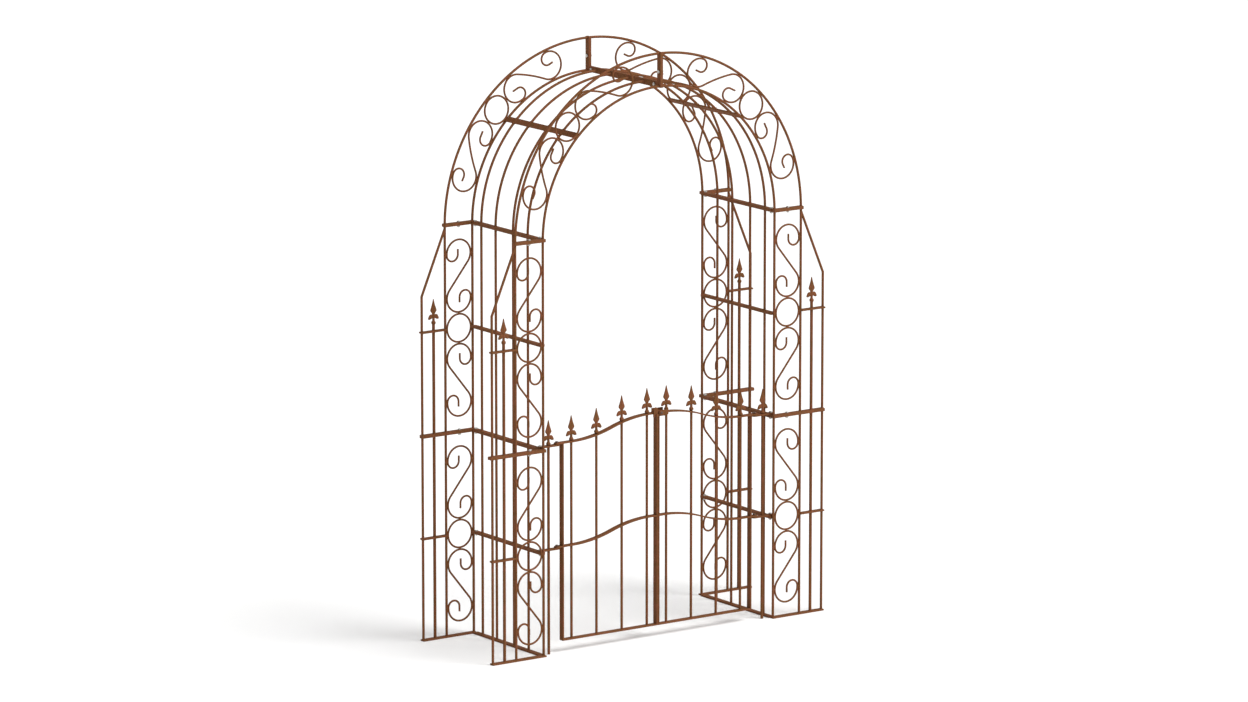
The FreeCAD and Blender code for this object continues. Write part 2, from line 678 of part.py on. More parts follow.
def latch_keeper():
    """Hook on the left leaf that the strap drops into."""
    plate_top = LATCH_Z + KEEPER_RISE
    back_y = LEAF_FRONT_Y - LATCH_T
    plate = box(*KEEPER_X, back_y, LEAF_FRONT_Y, PLATE_LOW_Z, plate_top)
    ear = rod(V(EAR_X, back_y, plate_top), V(EAR_X, LEAF_FRONT_Y, plate_top), EAR_R)
    lip_back_y = STRAP_FRONT_Y - 2 * LATCH_GAP
    ledge = latch_ledge(HOOK_X, lip_back_y)
    lip = box(*HOOK_X, lip_back_y - LATCH_T, lip_back_y, PLATE_LOW_Z, LATCH_Z - HOOK_DROP)
    stop = box(*STOP_X, back_y, lip_back_y, LATCH_Z - STOP_FOOT_DROP, plate_top)
    over = saddle(KEEPER_LUG_X, KEEPER_LUG_X, LATCH_Z + KEEPER_LUG_RISE)
    return weld([plate, ear, ledge, lip, stop] + over)


# ---- every node ------------------------------------------------------------------
def build():
    nodes = {}
    for side_name, side in (("left", -1), ("right", 1)):
        nodes["lower_%s_side_grille" % side_name] = side_grille(side, 0, GATE_LEVEL, True)
        nodes["upper_%s_side_grille" % side_name] = side_grille(side, GATE_LEVEL, SPRING_LEVEL, False)
        nodes["%s_roof_grille" % side_name] = roof_grille(side)
        for face_name, face_y in (("front", -FACE_Y), ("back", FACE_Y)):
            tail = "%s_%s" % (side_name, face_name)
            nodes["lower_%s_panel" % tail] = lower_panel(side, face_y)
            nodes["upper_%s_panel" % tail] = upper_panel(side, face_y)
            nodes["lower_%s_scrolls" % tail] = leg_scrolls(side, face_y, 0, GATE_LEVEL)
            nodes["upper_%s_scrolls" % tail] = leg_scrolls(side, face_y, GATE_LEVEL, SPRING_LEVEL)
            nodes["%s_arch_frame" % tail] = arch_frame(side, face_y)
            nodes["%s_arch_scrolls" % tail] = arch_scrolls(side, face_y)
        nodes["%s_hinge_post" % side_name] = upright(side * POST_X, GATE_Y, 0,
                                                     UPPER_ARM_Z + FLAT_T, POST_R)
        nodes["%s_upper_hinge_arm" % side_name] = hinge_arm(side, UPPER_ARM_Z)
        nodes["%s_lower_hinge_arm" % side_name] = hinge_arm(side, LOWER_ARM_Z)

    wing_spears = []
    for x in (-SPEAR_X, SPEAR_X):
        for y in (-FACE_Y, FACE_Y):
            wing_spears.append(spear(x, y, WING_SPEAR_BASE_Z))
    nodes["wing_spears"] = group(wing_spears)
    post_spears = []
    for x in (-POST_X, POST_X):
        post_spears.append(spear(x, GATE_Y, UPPER_ARM_Z + FLAT_T))
    nodes["post_spears"] = group(post_spears)

    for name, shape in leaf_parts().items():
        nodes["right_gate_%s" % name] = shape
        nodes["left_gate_%s" % name] = mirrored_x(shape)

    nodes["latch_bracket"] = latch_bracket()
    nodes["latch_strap"] = latch_strap()
    nodes["latch_rivet"] = latch_rivet()
    nodes["latch_keeper"] = latch_keeper()

    joints = joint_places()
    pivots = pivot_places()
    nodes["joint_bolts"] = group([hex_bolt(*place, NUT_H + THREAD_END) for place in joints])
    nodes["hinge_pivot_bolts"] = group([hex_bolt(base, UP, PIVOT_GRIP, 0) for base in pivots])
    nodes["nuts"] = group([hex_nut(base, axis) for base, axis, grip in joints])
    return nodes


def export(nodes):
    os.makedirs("parts", exist_ok=True)
    for name, shape in nodes.items():
        shape.exportStep("parts/%s.step" % name)
        print("%-28s solids %2d  volume %10.0f  valid %s"
              % (name, len(shape.Solids), shape.Volume, shape.isValid()))


export(build())
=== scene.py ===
import json
import math

import bmesh
import bpy
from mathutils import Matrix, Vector, noise
from mathutils.bvhtree import BVHTree


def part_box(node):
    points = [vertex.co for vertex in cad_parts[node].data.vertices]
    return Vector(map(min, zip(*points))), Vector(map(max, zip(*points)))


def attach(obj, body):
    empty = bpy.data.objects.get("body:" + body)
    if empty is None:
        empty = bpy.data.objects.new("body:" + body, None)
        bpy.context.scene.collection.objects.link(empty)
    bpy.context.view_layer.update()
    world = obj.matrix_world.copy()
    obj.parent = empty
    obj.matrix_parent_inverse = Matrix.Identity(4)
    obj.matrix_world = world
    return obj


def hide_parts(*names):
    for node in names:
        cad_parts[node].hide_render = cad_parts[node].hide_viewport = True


# Looks of the garden arch. Metres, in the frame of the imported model: +Z up, gate on -Y.
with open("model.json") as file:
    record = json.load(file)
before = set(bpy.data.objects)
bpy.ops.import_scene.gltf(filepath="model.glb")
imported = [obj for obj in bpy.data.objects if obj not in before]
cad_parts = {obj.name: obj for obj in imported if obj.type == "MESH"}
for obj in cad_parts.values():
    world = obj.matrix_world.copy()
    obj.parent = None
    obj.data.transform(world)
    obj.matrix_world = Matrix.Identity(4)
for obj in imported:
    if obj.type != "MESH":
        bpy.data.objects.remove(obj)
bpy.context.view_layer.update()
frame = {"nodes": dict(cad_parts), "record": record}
X, Y, Z = Vector((1, 0, 0)), Vector((0, 1, 0)), Vector((0, 0, 1))

# ---- sizes read from the frame ----------------------------------------------------
GATE_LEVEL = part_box("lower_left_front_panel")[1].z
SPRING_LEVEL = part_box("upper_left_front_panel")[1].z
FACE_Y = (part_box("lower_left_back_panel")[0].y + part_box("lower_left_back_panel")[1].y) / 2
RING_LEVELS = (GATE_LEVEL / 2, (GATE_LEVEL + SPRING_LEVEL) / 2)

# ---- stock sizes and places of the CAD model --------------------------------------
MM = 0.001
ROD_R = 0.0055
SPEAR_ROD_R = 0.0065         # rods under the wing spears
WIRE_R = 0.00425             # wire of the scrolls and rings
FLAT_W = 0.025
FLAT_T = 0.0065
RING_FLAT_T = 0.010          # flats at ring level in the side walls
INNER_X = 0.596              # inner stile, and radius of the inner arc and of the roof rods
OUTER_X = 0.735              # outer stile, and radius of the outer arc
WING_X = 0.853
SPEAR_X = (OUTER_X + WING_X) / 2
SIDE_ROD_Y = (0.192, 0.086, -0.0425, -0.150)     # left wall; the right wall is turned round
ARC_CENTRE_Z = 1.765         # centre of the face arcs
ARC_MIDDLE = math.radians(45)                    # where the ring of an arch quarter is
MID_X = (INNER_X + OUTER_X) / 2
LOOP_R = (OUTER_X - INNER_X) / 2 - ROD_R - WIRE_R
LOOP_PITCH = 0.190           # between the two loops of a scroll
RING_PITCH = 2 * (LOOP_R + WIRE_R)               # from the ring to the loop beside it

# ---- the view ---------------------------------------------------------------------
CAMERA_AZIMUTH = -35.31
CAMERA_ELEVATION = 11.43
CAMERA_DISTANCE = 30.70
CAMERA_TARGET = Vector((0.0, 0.0, 1.1925))
CAMERA_LENS = 209.5          # for the sensor width below
SENSOR_WIDTH = 36.0
VIEW_END = 300.0

# ---- smoothing --------------------------------------------------------------------
# Edges sharper than these angles, in degrees, stay sharp.
SMOOTH_ANGLE = 35.0
CAST_SMOOTH = 60.0
THREAD_SMOOTH = 28.0
WELD_SMOOTH = 80.0


# ---- small helpers ----------------------------------------------------------------
def on_sphere(azimuth, elevation):
    """Unit vector from the object towards a viewer or lamp; azimuth 0 is the gate side."""
    a = math.radians(azimuth)
    e = math.radians(elevation)
    return Vector((math.sin(a) * math.cos(e), -math.cos(a) * math.cos(e), math.sin(e)))


def add_object(name, data):
    obj = bpy.data.objects.new(name, data)
    bpy.context.scene.collection.objects.link(obj)
    return obj


def aim(obj, direction):
    """Turns a lamp or camera so that it looks along direction."""
    obj.rotation_mode = "QUATERNION"
    obj.rotation_quaternion = direction.to_track_quat("-Z", "Y")


# ---- materials --------------------------------------------------------------------
EDGE_SAMPLES = 4
EDGE_STARTS = 0.995          # cosine between the rounded and the flat normal where wear starts
EDGE_FULL = 0.9              # and where it is full
BROWN = (0.168, 0.064, 0.027)
GATE_BROWN = (0.160, 0.060, 0.025)
CAST_BROWN = (0.162, 0.062, 0.026)
WARM_BROWN = (0.192, 0.066, 0.030)
OLIVE_BROWN = (0.140, 0.062, 0.020)
RUBBED = (0.250, 0.115, 0.060)


class Shader:
    """A material's node tree, with the few node kinds that the finishes need."""

    def __init__(self, name):
        self.material = bpy.data.materials.new(name)
        self.material.use_nodes = True
        self.nodes = self.material.node_tree.nodes
        self.links = self.material.node_tree.links
        self.surface = self.nodes["Principled BSDF"]
        self.place = self.nodes.new("ShaderNodeTexCoord").outputs["Object"]

    def link(self, source, target):
        self.links.new(source, target)

    def noise(self, size, detail=2.0, roughness=0.5, distortion=0.0):
        """Noise whose features are about size metres across."""
        node = self.nodes.new("ShaderNodeTexNoise")
        node.inputs["Scale"].default_value = 1.0 / size
        node.inputs["Detail"].default_value = detail
        node.inputs["Roughness"].default_value = roughness
        node.inputs["Distortion"].default_value = distortion
        self.link(self.place, node.inputs["Vector"])
        return node.outputs["Fac"]

    def remap(self, value, low, high, to_low=0.0, to_high=1.0):
        """Smooth step of value, from low and high to to_low and to_high."""
        node = self.nodes.new("ShaderNodeMapRange")
        node.interpolation_type = "SMOOTHSTEP"
        node.inputs["From Min"].default_value = low
        node.inputs["From Max"].default_value = high
        node.inputs["To Min"].default_value = to_low
        node.inputs["To Max"].default_value = to_high
        self.link(value, node.inputs["Value"])
        return node.outputs["Result"]

    def math(self, operation, a, b):
        """Maths node on two numbers or sockets."""
        node = self.nodes.new("ShaderNodeMath")
        node.operation = operation
        for value, socket in ((a, node.inputs[0]), (b, node.inputs[1])):
            if isinstance(value, (int, float)):
                socket.default_value = value
            else:
                self.link(value, socket)
        return node.outputs[0]

    def mix(self, amount, a, b):
        """Blend of two colours or sockets: a at amount 0 and b at 1."""
        node = self.nodes.new("ShaderNodeMix")
        node.data_type = "RGBA"
        self.link(amount, node.inputs["Factor"])
        for value, socket in ((a, node.inputs["A"]), (b, node.inputs["B"])):
            if isinstance(value, tuple):
                socket.default_value = (*value, 1.0)
            else:
                self.link(value, socket)
        return node.outputs["Result"]

    def bump(self, height, distance, strength, below=None):
        """Normal of a relief distance metres high, over the normal below."""
        node = self.nodes.new("ShaderNodeBump")
        node.inputs["Strength"].default_value = strength
        node.inputs["Distance"].default_value = distance
        self.link(height, node.inputs["Height"])
        if below is not None:
            self.link(below, node.inputs["Normal"])
        return node.outputs["Normal"]

    def edges(self, radius):
        """1 near a sharp edge and 0 on a flat or gently round surface, with the rounded normal."""
        bevel = self.nodes.new("ShaderNodeBevel")
        bevel.samples = EDGE_SAMPLES
        bevel.inputs["Radius"].default_value = radius
        geometry = self.nodes.new("ShaderNodeNewGeometry")
        dot = self.nodes.new("ShaderNodeVectorMath")
        dot.operation = "DOT_PRODUCT"
        self.link(bevel.outputs["Normal"], dot.inputs[0])
        self.link(geometry.outputs["Normal"], dot.inputs[1])
        return self.remap(dot.outputs["Value"], EDGE_STARTS, EDGE_FULL), bevel.outputs["Normal"]


def powder_coat(name, base, grain, peel):
    """Antique brown coat: cloudy colour, fine grain, orange peel and edges rubbed lighter.

    grain and peel are the sizes in metres of the specks and of the orange peel.
    """
    s = Shader(name)
    clouds = s.remap(s.noise(0.055, detail=3.0, roughness=0.55, distortion=0.6), 0.35, 0.65)
    drift = s.remap(s.noise(0.021), 0.38, 0.66)
    colour = s.mix(clouds, WARM_BROWN, base)
    colour = s.mix(s.math("MULTIPLY", drift, 0.75), colour, OLIVE_BROWN)
    speck = s.remap(s.noise(grain, detail=3.0, roughness=0.65), 0.30, 0.72, 0.78, 1.16)
    tint = s.nodes.new("ShaderNodeVectorMath")
    tint.operation = "SCALE"
    s.link(colour, tint.inputs[0])
    s.link(speck, tint.inputs["Scale"])
    edge, rounded = s.edges(0.0012)
    patches = s.remap(s.noise(0.006, detail=3.0, roughness=0.6), 0.36, 0.60, 0.15, 1.0)
    patchy = s.math("MULTIPLY", edge, patches)
    worn = s.mix(s.math("MULTIPLY", patchy, 0.8), tint.outputs["Vector"], RUBBED)
    s.link(worn, s.surface.inputs["Base Color"])
    rough = s.remap(s.noise(0.013, detail=3.0, roughness=0.6), 0.3, 0.7, 0.52, 0.68)
    s.link(s.math("SUBTRACT", rough, s.math("MULTIPLY", patchy, 0.10)), s.surface.inputs["Roughness"])
    skin = s.bump(s.noise(peel, detail=1.0, roughness=0.4), 0.00012, 0.8, rounded)
    waves = s.bump(s.noise(0.011), 0.0005, 0.55, skin)
    s.link(waves, s.surface.inputs["Normal"])
    s.surface.inputs["Specular IOR Level"].default_value = 0.05
    return s.material


def zinc_plate(name):
    """Dull zinc plate with cloudy white bloom and darker handling marks."""
    s = Shader(name)
    bloom = s.remap(s.noise(0.004, detail=4.0, roughness=0.6, distortion=0.8), 0.40, 0.68)
    marks = s.remap(s.noise(0.0018, detail=3.0, roughness=0.7), 0.42, 0.62)
    colour = s.mix(bloom, (0.50, 0.48, 0.44), (0.68, 0.67, 0.64))
    colour = s.mix(s.math("MULTIPLY", marks, 0.45), colour, (0.30, 0.27, 0.23))
    edge, rounded = s.edges(0.0005)
    colour = s.mix(s.math("MULTIPLY", edge, 0.6), colour, (0.80, 0.79, 0.76))
    s.link(colour, s.surface.inputs["Base Color"])
    s.surface.inputs["Metallic"].default_value = 0.85
    s.link(s.remap(bloom, 0.0, 1.0, 0.34, 0.55), s.surface.inputs["Roughness"])
    grain = s.noise(0.0007, roughness=0.6)
    s.link(s.bump(grain, 0.00006, 0.7, rounded), s.surface.inputs["Normal"])
    return s.material


def dark_hardware(name):
    """Brown paint over a steel fastener, rubbed through on the corners."""
    s = Shader(name)
    clouds = s.remap(s.noise(0.006, detail=3.0, roughness=0.6), 0.35, 0.65)
    paint = s.mix(clouds, (0.105, 0.050, 0.028), (0.070, 0.036, 0.020))
    edge, rounded = s.edges(0.0007)
    bare = s.math("MULTIPLY", edge, s.remap(s.noise(0.0022, detail=3.0, roughness=0.7), 0.45, 0.60))
    s.link(s.mix(bare, paint, (0.36, 0.31, 0.27)), s.surface.inputs["Base Color"])
    s.link(s.math("MULTIPLY", bare, 0.8), s.surface.inputs["Metallic"])
    s.link(s.remap(s.noise(0.003), 0.3, 0.7, 0.38, 0.58), s.surface.inputs["Roughness"])
    s.link(s.bump(s.noise(0.0009), 0.00008, 0.7, rounded), s.surface.inputs["Normal"])
    return s.material


def studio_paper(name):
    """Matt white floor with a faint tooth."""
    s = Shader(name)
    tooth = s.remap(s.noise(0.9), 0.3, 0.7)
    s.link(s.mix(tooth, (0.920, 0.920, 0.915), (0.935, 0.935, 0.932)), s.surface.inputs["Base Color"])
    rough = s.remap(s.noise(0.02, detail=3.0, roughness=0.6), 0.3, 0.7, 0.82, 0.95)
    s.link(rough, s.surface.inputs["Roughness"])
    s.link(s.bump(s.noise(0.003), 0.00008, 0.5), s.surface.inputs["Normal"])
    s.surface.inputs["Specular IOR Level"].default_value = 0.1
    return s.material


MATERIALS = {
    "arch_steel": powder_coat("arch_coat", BROWN, grain=0.0028, peel=0.0014),
    "gate_steel": powder_coat("gate_coat", GATE_BROWN, grain=0.0026, peel=0.0014),
    "scroll_wire": powder_coat("wire_coat", BROWN, grain=0.0020, peel=0.0011),
    "cast_spear": powder_coat("cast_coat", CAST_BROWN, grain=0.0034, peel=0.0021),
    "zinc_fastener": zinc_plate("zinc_plate"),
    "dark_fastener": dark_hardware("dark_hardware"),
}
NODE_SLOT = {part["node"]: part["material_slot"] for part in frame["record"]["subparts"]}


def dress(obj, slot_name):
    """Gives an object the finish of its slot."""
    obj.data.materials.clear()
    obj.data.materials.append(MATERIALS[slot_name])


# ---- mesh helpers -----------------------------------------------------------------
SAME_POINT = 1e-6            # points nearer than this are one
ORDER_DIGITS = 4             # decimals of a metre by which solids are put in order


def basis(axis):
    """Two unit vectors square to axis, the first as near as can be to X, or to Z for an axis along X."""
    start = Z if abs(axis.x) > 0.7 else X
    u = (start - axis * start.dot(axis)).normalized()
    return u, axis.cross(u)


def lathe(bm, base, axis, profile, segments, shape=None, closed=False):
    """Turns (radius, height) points about axis; shape(radius, height, angle) may change the radius.

    A closed profile is a loop, as of a nut; an open one gets a flat cap at both ends.
    """
    u, v = basis(axis)
    rings = []
    for radius, height in profile:
        row = []
        for step in range(segments):
            angle = 2 * math.pi * step / segments
            r = shape(radius, height, angle) if shape else radius
            out = u * math.cos(angle) + v * math.sin(angle)
            row.append(bm.verts.new(base + axis * height + out * r))
        rings.append(row)
    pairs = list(zip(rings, rings[1:]))
    if closed:
        pairs.append((rings[-1], rings[0]))
    for low, high in pairs:
        for i in range(segments):
            j = (i + 1) % segments
            bm.faces.new((low[i], low[j], high[j], high[i]))
    if not closed:
        bm.faces.new(list(reversed(rings[0])))
        bm.faces.new(rings[-1])


def finish_mesh(bm, name, smooth_angle=SMOOTH_ANGLE):
    """Turns a bmesh into a mesh with outward faces, smooth but for its sharp edges."""
    bmesh.ops.recalc_face_normals(bm, faces=bm.faces)
    mesh = bpy.data.meshes.new(name)
    bm.to_mesh(mesh)
    bm.free()
    mesh.shade_smooth()
    mesh.set_sharp_from_angle(angle=math.radians(smooth_angle))
    return mesh


def make_piece(bm, name, body, slot_name, node_name=None, smooth_angle=SMOOTH_ANGLE):
    """Turns a bmesh into a finished piece that rides on body and may stand for a CAD node."""
    piece = add_object(name, finish_mesh(bm, name, smooth_angle))
    dress(piece, slot_name)
    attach(piece, body)
    if node_name:
        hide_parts(node_name)


def solid_boxes(node_name):
    """Lowest and highest corner of every separate solid in a CAD node, in a fixed order."""
    bm = bmesh.new()
    bm.from_mesh(frame["nodes"][node_name].data)
    bmesh.ops.remove_doubles(bm, verts=bm.verts, dist=SAME_POINT)
    waiting = set(bm.verts)
    boxes = []
    while waiting:
        stack = [waiting.pop()]
        points = []
        while stack:
            vert = stack.pop()
            points.append(vert.co.copy())
            for edge in vert.link_edges:
                other = edge.other_vert(vert)
                if other in waiting:
                    waiting.remove(other)
                    stack.append(other)
        low = Vector([min(p[i] for p in points) for i in range(3)])
        high = Vector([max(p[i] for p in points) for i in range(3)])
        boxes.append((low, high))
    bm.free()
    return sorted(boxes, key=lambda box: tuple(round(value, ORDER_DIGITS) for value in box[0]))


# ---- spear heads ------------------------------------------------------------------
# Half outline of the leaf: distance below the tip and from the axis, in millimetres.
LEAF = ((0.0, 0.6), (4.0, 1.9), (10.0, 3.5), (18.0, 5.5), (28.0, 8.3), (38.0, 11.9), (44.0, 14.4),
        (48.5, 15.7), (52.0, 14.8), (56.0, 11.6), (60.0, 8.3), (63.0, 6.9), (68.0, 6.8), (76.0, 7.2))
LEAF_STEPS = 13              # points across one face of the leaf
LEAF_HALF_T = 3.4            # half thickness of the leaf near its middle
LEAF_RIM = 0.35              # half thickness of its rim
LEAF_FULLNESS = 2.4          # power of the section: 2 is an ellipse, more is flatter
TIP_SWELL = 0.35             # share of the thickness at the tip
FULL_WIDTH = 14.0            # half width that would add the whole thickness
MIDRIB = 1.9                 # how far the midrib stands out of the leaf
MIDRIB_W = 2.3
# Outline of the right barb: distance from the axis and below the tip.
BARB = ((4.0, 67.0), (9.5, 65.2), (15.0, 65.0), (20.0, 68.0), (23.6, 73.6), (26.2, 79.6), (27.4, 83.6),
        (26.6, 86.4), (23.6, 87.8), (19.6, 87.6), (15.6, 86.6), (11.8, 85.0), (8.0, 83.0), (4.0, 81.0))
BARB_MIDDLE = Vector((14.0, 0.0, -76.5))
BARB_RINGS = (1.0, 0.93, 0.8, 0.6, 0.35)         # the outline drawn in towards the middle
BARB_HALF_T = 4.2
BARB_RIM = 0.5               # half thickness of its rim
BARB_FULLNESS = 2.2          # power of the section
# The turned stem: radius and distance below the tip, from the foot of the collar up into the leaf.
STEM = ((6.4, 108.0), (7.8, 107.3), (9.2, 104.8), (9.8, 101.8), (9.5, 99.2), (8.4, 96.6), (6.9, 94.8),
        (5.9, 93.4), (5.5, 90.0), (5.4, 84.0), (5.7, 76.0), (5.2, 68.0), (4.2, 60.0))
STEM_SEGMENTS = 32
CAST_VOXEL = 0.8 * MM        # cell of the skin that fuses leaf, barbs and stem
CAST_RELAX = 4               # rounds of smoothing over the joins
CAST_KEEP = 0.22             # share of the faces that the thinned skin keeps


def leaf_mesh(bm):
    """The leaf with its midrib, as one ring of points for each row of the outline."""
    rows = []
    for drop, half_width in LEAF:
        swell = min(1.0, TIP_SWELL + half_width / FULL_WIDTH)
        front, back = [], []
        for step in range(LEAF_STEPS):
            t = -1.0 + 2.0 * step / (LEAF_STEPS - 1)
            x = half_width * math.sin(t * math.pi / 2)
            body = LEAF_HALF_T * swell * math.sqrt(max(0.0, 1.0 - abs(t) ** LEAF_FULLNESS))
            rib = MIDRIB * swell * math.exp(-(x / MIDRIB_W) ** 2)
            depth = LEAF_RIM + body + rib
            front.append(Vector((x, -depth, -drop)) * MM)
            back.append(Vector((x, depth, -drop)) * MM)
        rows.append([bm.verts.new(co) for co in front + list(reversed(back))])
    for low, high in zip(rows, rows[1:]):
        for i in range(len(low)):
            j = (i + 1) % len(low)
            bm.faces.new((low[i], low[j], high[j], high[i]))
    bm.faces.new(rows[0])
    bm.faces.new(list(reversed(rows[-1])))


def barb_mesh(bm, side):
    """One barb, a rounded pad that is thickest at its middle."""
    for face in (-1, 1):
        rings = []
        for shrink in BARB_RINGS:
            depth = BARB_RIM + BARB_HALF_T * (1.0 - shrink ** BARB_FULLNESS) ** 0.5
            row = []
            for x, drop in BARB:
                point = BARB_MIDDLE + (Vector((x, 0.0, -drop)) - BARB_MIDDLE) * shrink
                row.append(bm.verts.new(Vector((side * point.x, face * depth, point.z)) * MM))
            rings.append(row)
        for outer, inner in zip(rings, rings[1:]):
            for i in range(len(outer)):
                j = (i + 1) % len(outer)
                bm.faces.new((outer[i], outer[j], inner[j], inner[i]))
        bm.faces.new(rings[-1])
        if face < 0:
            front_rim = rings[0]
        else:
            for i in range(len(front_rim)):
                j = (i + 1) % len(front_rim)
                bm.faces.new((front_rim[i], front_rim[j], rings[0][j], rings[0][i]))


def spear_casting():
    """Mesh of one spear head with its tip at the origin, fused into one skin."""
    bm = bmesh.new()
    leaf_mesh(bm)
    barb_mesh(bm, 1)
    barb_mesh(bm, -1)
    lathe(bm, Vector((0, 0, 0)), Z, [(radius * MM, -drop * MM) for radius, drop in STEM], STEM_SEGMENTS)
    rough = add_object("spear_rough", finish_mesh(bm, "spear_rough"))
    remesh = rough.modifiers.new("fuse", "REMESH")
    remesh.mode = "VOXEL"
    remesh.voxel_size = CAST_VOXEL
    relax = rough.modifiers.new("relax", "SMOOTH")
    relax.factor = 0.5
    relax.iterations = CAST_RELAX
    thin = rough.modifiers.new("thin", "DECIMATE")
    thin.ratio = CAST_KEEP
    graph = bpy.context.evaluated_depsgraph_get()
    mesh = bpy.data.meshes.new_from_object(rough.evaluated_get(graph))
    bpy.data.objects.remove(rough)
    return mesh


def make_spears(casting, node_name, piece_name, body):
    """A casting at the tip of every spear head of a CAD node."""
    bm = bmesh.new()
    for low, high in solid_boxes(node_name):
        tip = Vector(((low.x + high.x) / 2, (low.y + high.y) / 2, high.z))
        start = len(bm.verts)
        bm.from_mesh(casting)
        bm.verts.ensure_lookup_table()
        for vert in bm.verts[start:]:
            vert.co += tip
    make_piece(bm, piece_name, body, "cast_spear", node_name, CAST_SMOOTH)


# ---- bolts and nuts ---------------------------------------------------------------
HEX_ACROSS = 0.013
HEX_CORNER = HEX_ACROSS / math.sqrt(3)           # from the middle to a corner
HEX_SEGMENTS = 48
HEAD_H = 0.0053
NUT_H = 0.0065
BOLT_R = 0.004
BORE_R = BOLT_R + 0.00005
THREAD_PITCH = 0.00125
THREAD_DEPTH = 0.0006
THREAD_STEPS = 8             # rings in one turn of the thread
SHANK_SEGMENTS = 24
SHANK_OVERLAP = 0.0005       # how far the shank runs into the head
RIVET_R = 0.003
RIVET_HEAD_H = 0.003
RIVET_EDGE = 0.0003          # straight edge below the dome of the rivet
RIVET_SEAT = 0.94            # radius of the head where it lies on the strap, as a share
RIVET_DOME = (15, 30, 45, 60, 75, 86)            # degrees up the dome
RIVET_SEGMENTS = 40

# Outlines of the head and the nut before the hexagon is cut: radius, height from the seat.
HEAD_PROFILE = (
    (HEX_ACROSS * 0.46, 0.0), (HEX_ACROSS * 0.47, 0.0003), (HEX_CORNER, 0.0005),
    (HEX_CORNER, HEAD_H - 0.0012), (HEX_CORNER * 0.965, HEAD_H - 0.0006),
    (HEX_ACROSS * 0.475, HEAD_H - 0.0001), (HEX_ACROSS * 0.45, HEAD_H),
    (HEX_ACROSS * 0.32, HEAD_H), (HEX_ACROSS * 0.29, HEAD_H - 0.0003))
NUT_PROFILE = (
    (BORE_R, 0.0), (HEX_ACROSS * 0.47, 0.0), (HEX_CORNER * 0.97, 0.0005),
    (HEX_CORNER, 0.0011), (HEX_CORNER, NUT_H - 0.0011), (HEX_CORNER * 0.97, NUT_H - 0.0005),
    (HEX_ACROSS * 0.47, NUT_H), (BORE_R + 0.0006, NUT_H), (BORE_R, NUT_H - 0.0006))


def hexagonal(radius, height, angle):
    """Cuts a turned blank to a hexagon with a corner at angle 0."""
    turn = (angle % (math.pi / 3)) - math.pi / 6
    return min(radius, HEX_ACROSS / 2 / math.cos(turn))


def threaded(radius, height, angle):
    """Cuts a thread with straight flanks into a shank."""
    turn = (height / THREAD_PITCH + angle / (2 * math.pi)) % 1.0
    return radius - THREAD_DEPTH * abs(2 * turn - 1)


def hex_head(bm, base, axis):
    """Head that stands on base, along axis."""
    lathe(bm, base, axis, HEAD_PROFILE, HEX_SEGMENTS, hexagonal)


def hex_nut(bm, base, axis):
    """Nut that hangs below base, against axis."""
    lathe(bm, base, -axis, NUT_PROFILE, HEX_SEGMENTS, hexagonal, closed=True)


def bolt_shank(bm, end, axis, length):
    """Shank from its threaded end, with a small chamfer there."""
    steps = THREAD_STEPS * max(1, int(round(length / THREAD_PITCH)))
    profile = [(BOLT_R - THREAD_DEPTH, 0.0)]
    profile += [(BOLT_R, length * step / steps) for step in range(1, steps + 1)]
    lathe(bm, end, axis, profile, SHANK_SEGMENTS, threaded)


def bolt_line(low, high):
    """Under side of the head, direction of the head and full length, from the box of a bolt."""
    size = high - low
    middle = (low + high) / 2
    if size.z > size.x:
        return Vector((middle.x, middle.y, high.z - HEAD_H)), Z, size.z
    return Vector((low.x + HEAD_H, middle.y, middle.z)), -X, size.x


def make_bolts(node_name, piece_name, slot_name):
    """Head and threaded shank for every bolt of a CAD node."""
    bm = bmesh.new()
    for low, high in solid_boxes(node_name):
        seat, axis, length = bolt_line(low, high)
        below_head = length - HEAD_H
        hex_head(bm, seat, axis)
        bolt_shank(bm, seat - axis * below_head, axis, below_head + SHANK_OVERLAP)
    make_piece(bm, piece_name, "arch", slot_name, node_name, THREAD_SMOOTH)


def make_rivet():
    """Domed head of the latch pivot, with its shank."""
    low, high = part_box("latch_rivet")
    radius = (high.x - low.x) / 2
    back = Vector(((low.x + high.x) / 2, high.y, (low.z + high.z) / 2))
    length = high.y - low.y
    rim = length - RIVET_HEAD_H
    edge = rim + RIVET_EDGE
    profile = [(RIVET_R, 0.0), (RIVET_R, rim), (radius * RIVET_SEAT, rim), (radius, edge)]
    for degrees in RIVET_DOME:
        turn = math.radians(degrees)
        profile.append((radius * math.cos(turn), edge + (RIVET_HEAD_H - RIVET_EDGE) * math.sin(turn)))
    bm = bmesh.new()
    lathe(bm, back, -Y, profile, RIVET_SEGMENTS)
    make_piece(bm, "latch_domed_rivet", "right_leaf", "dark_fastener", "latch_rivet")


def make_nuts():
    """Every nut: below a joint if it lies flat, else on the +X side of one."""
    bm = bmesh.new()
    for low, high in solid_boxes("nuts"):
        middle = (low + high) / 2
        if high.z - low.z < high.x - low.x:
            hex_nut(bm, Vector((middle.x, middle.y, high.z)), Z)
        else:
            hex_nut(bm, Vector((low.x, middle.y, middle.z)), -X)
    make_piece(bm, "joint_nuts", "arch", "zinc_fastener", "nuts", THREAD_SMOOTH)


